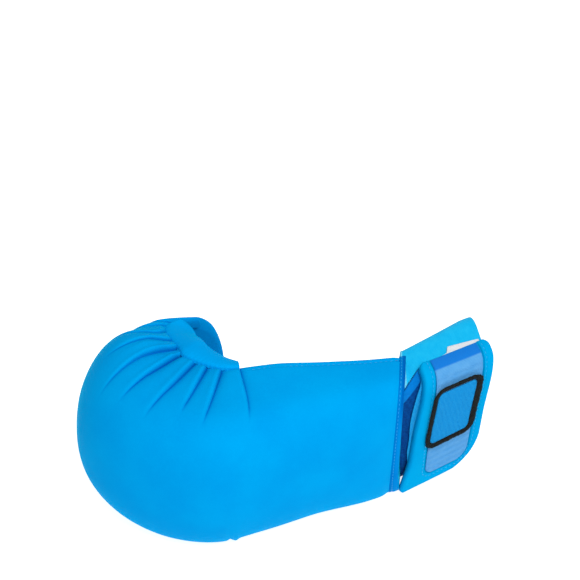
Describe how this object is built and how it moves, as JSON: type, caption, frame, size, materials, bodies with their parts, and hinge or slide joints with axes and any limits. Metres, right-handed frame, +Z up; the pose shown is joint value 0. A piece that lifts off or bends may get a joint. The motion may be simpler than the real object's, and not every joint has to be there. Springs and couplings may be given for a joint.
{
  "type": "karate mitt",
  "caption": "Padded thumbless karate mitt, curled as a fist with gathered sides and an open palm, and a closed wrist cuff with a hook-and-loop strap.",
  "frame": {"origin": "under the middle of the mitt's bounding box, on the surface that it lies on", "axes": "+X from the fist towards the arm, +Y from the back of the hand towards the palm, +Z up, across the hand"},
  "size_m": [0.2383, 0.1215, 0.0985],
  "materials": {
    "shell_leather": "semi-gloss imitation leather with a fine grain",
    "lining_fabric": "matte knit",
    "facing_leather": "satin imitation leather",
    "hem_leather": "satin imitation leather with a stitched groove",
    "cuff_fabric": "matte brushed loop fabric",
    "band_elastic": "matte ribbed elastic",
    "backing_fabric": "matte bound edge",
    "strap_leather": "satin imitation leather",
    "panel_fabric": "satin ribbed webbing",
    "patch_frame": "matte raised pile border",
    "patch_field": "matte embroidered field",
    "label_fabric": "matte woven tape"
  },
  "bodies": {
    "root": {"shell": "shell_leather", "lining": "lining_fabric", "rim_facing_upper": "facing_leather", "rim_facing_lower": "facing_leather", "wrist_hem": "hem_leather", "cuff_back": "cuff_fabric", "palm_band": "band_elastic", "strap_backing": "backing_fabric", "strap": "strap_leather", "strap_panel": "panel_fabric", "patch_frame": "patch_frame", "patch_field": "patch_field", "care_label": "label_fabric"}
  },
  "joints": []
}
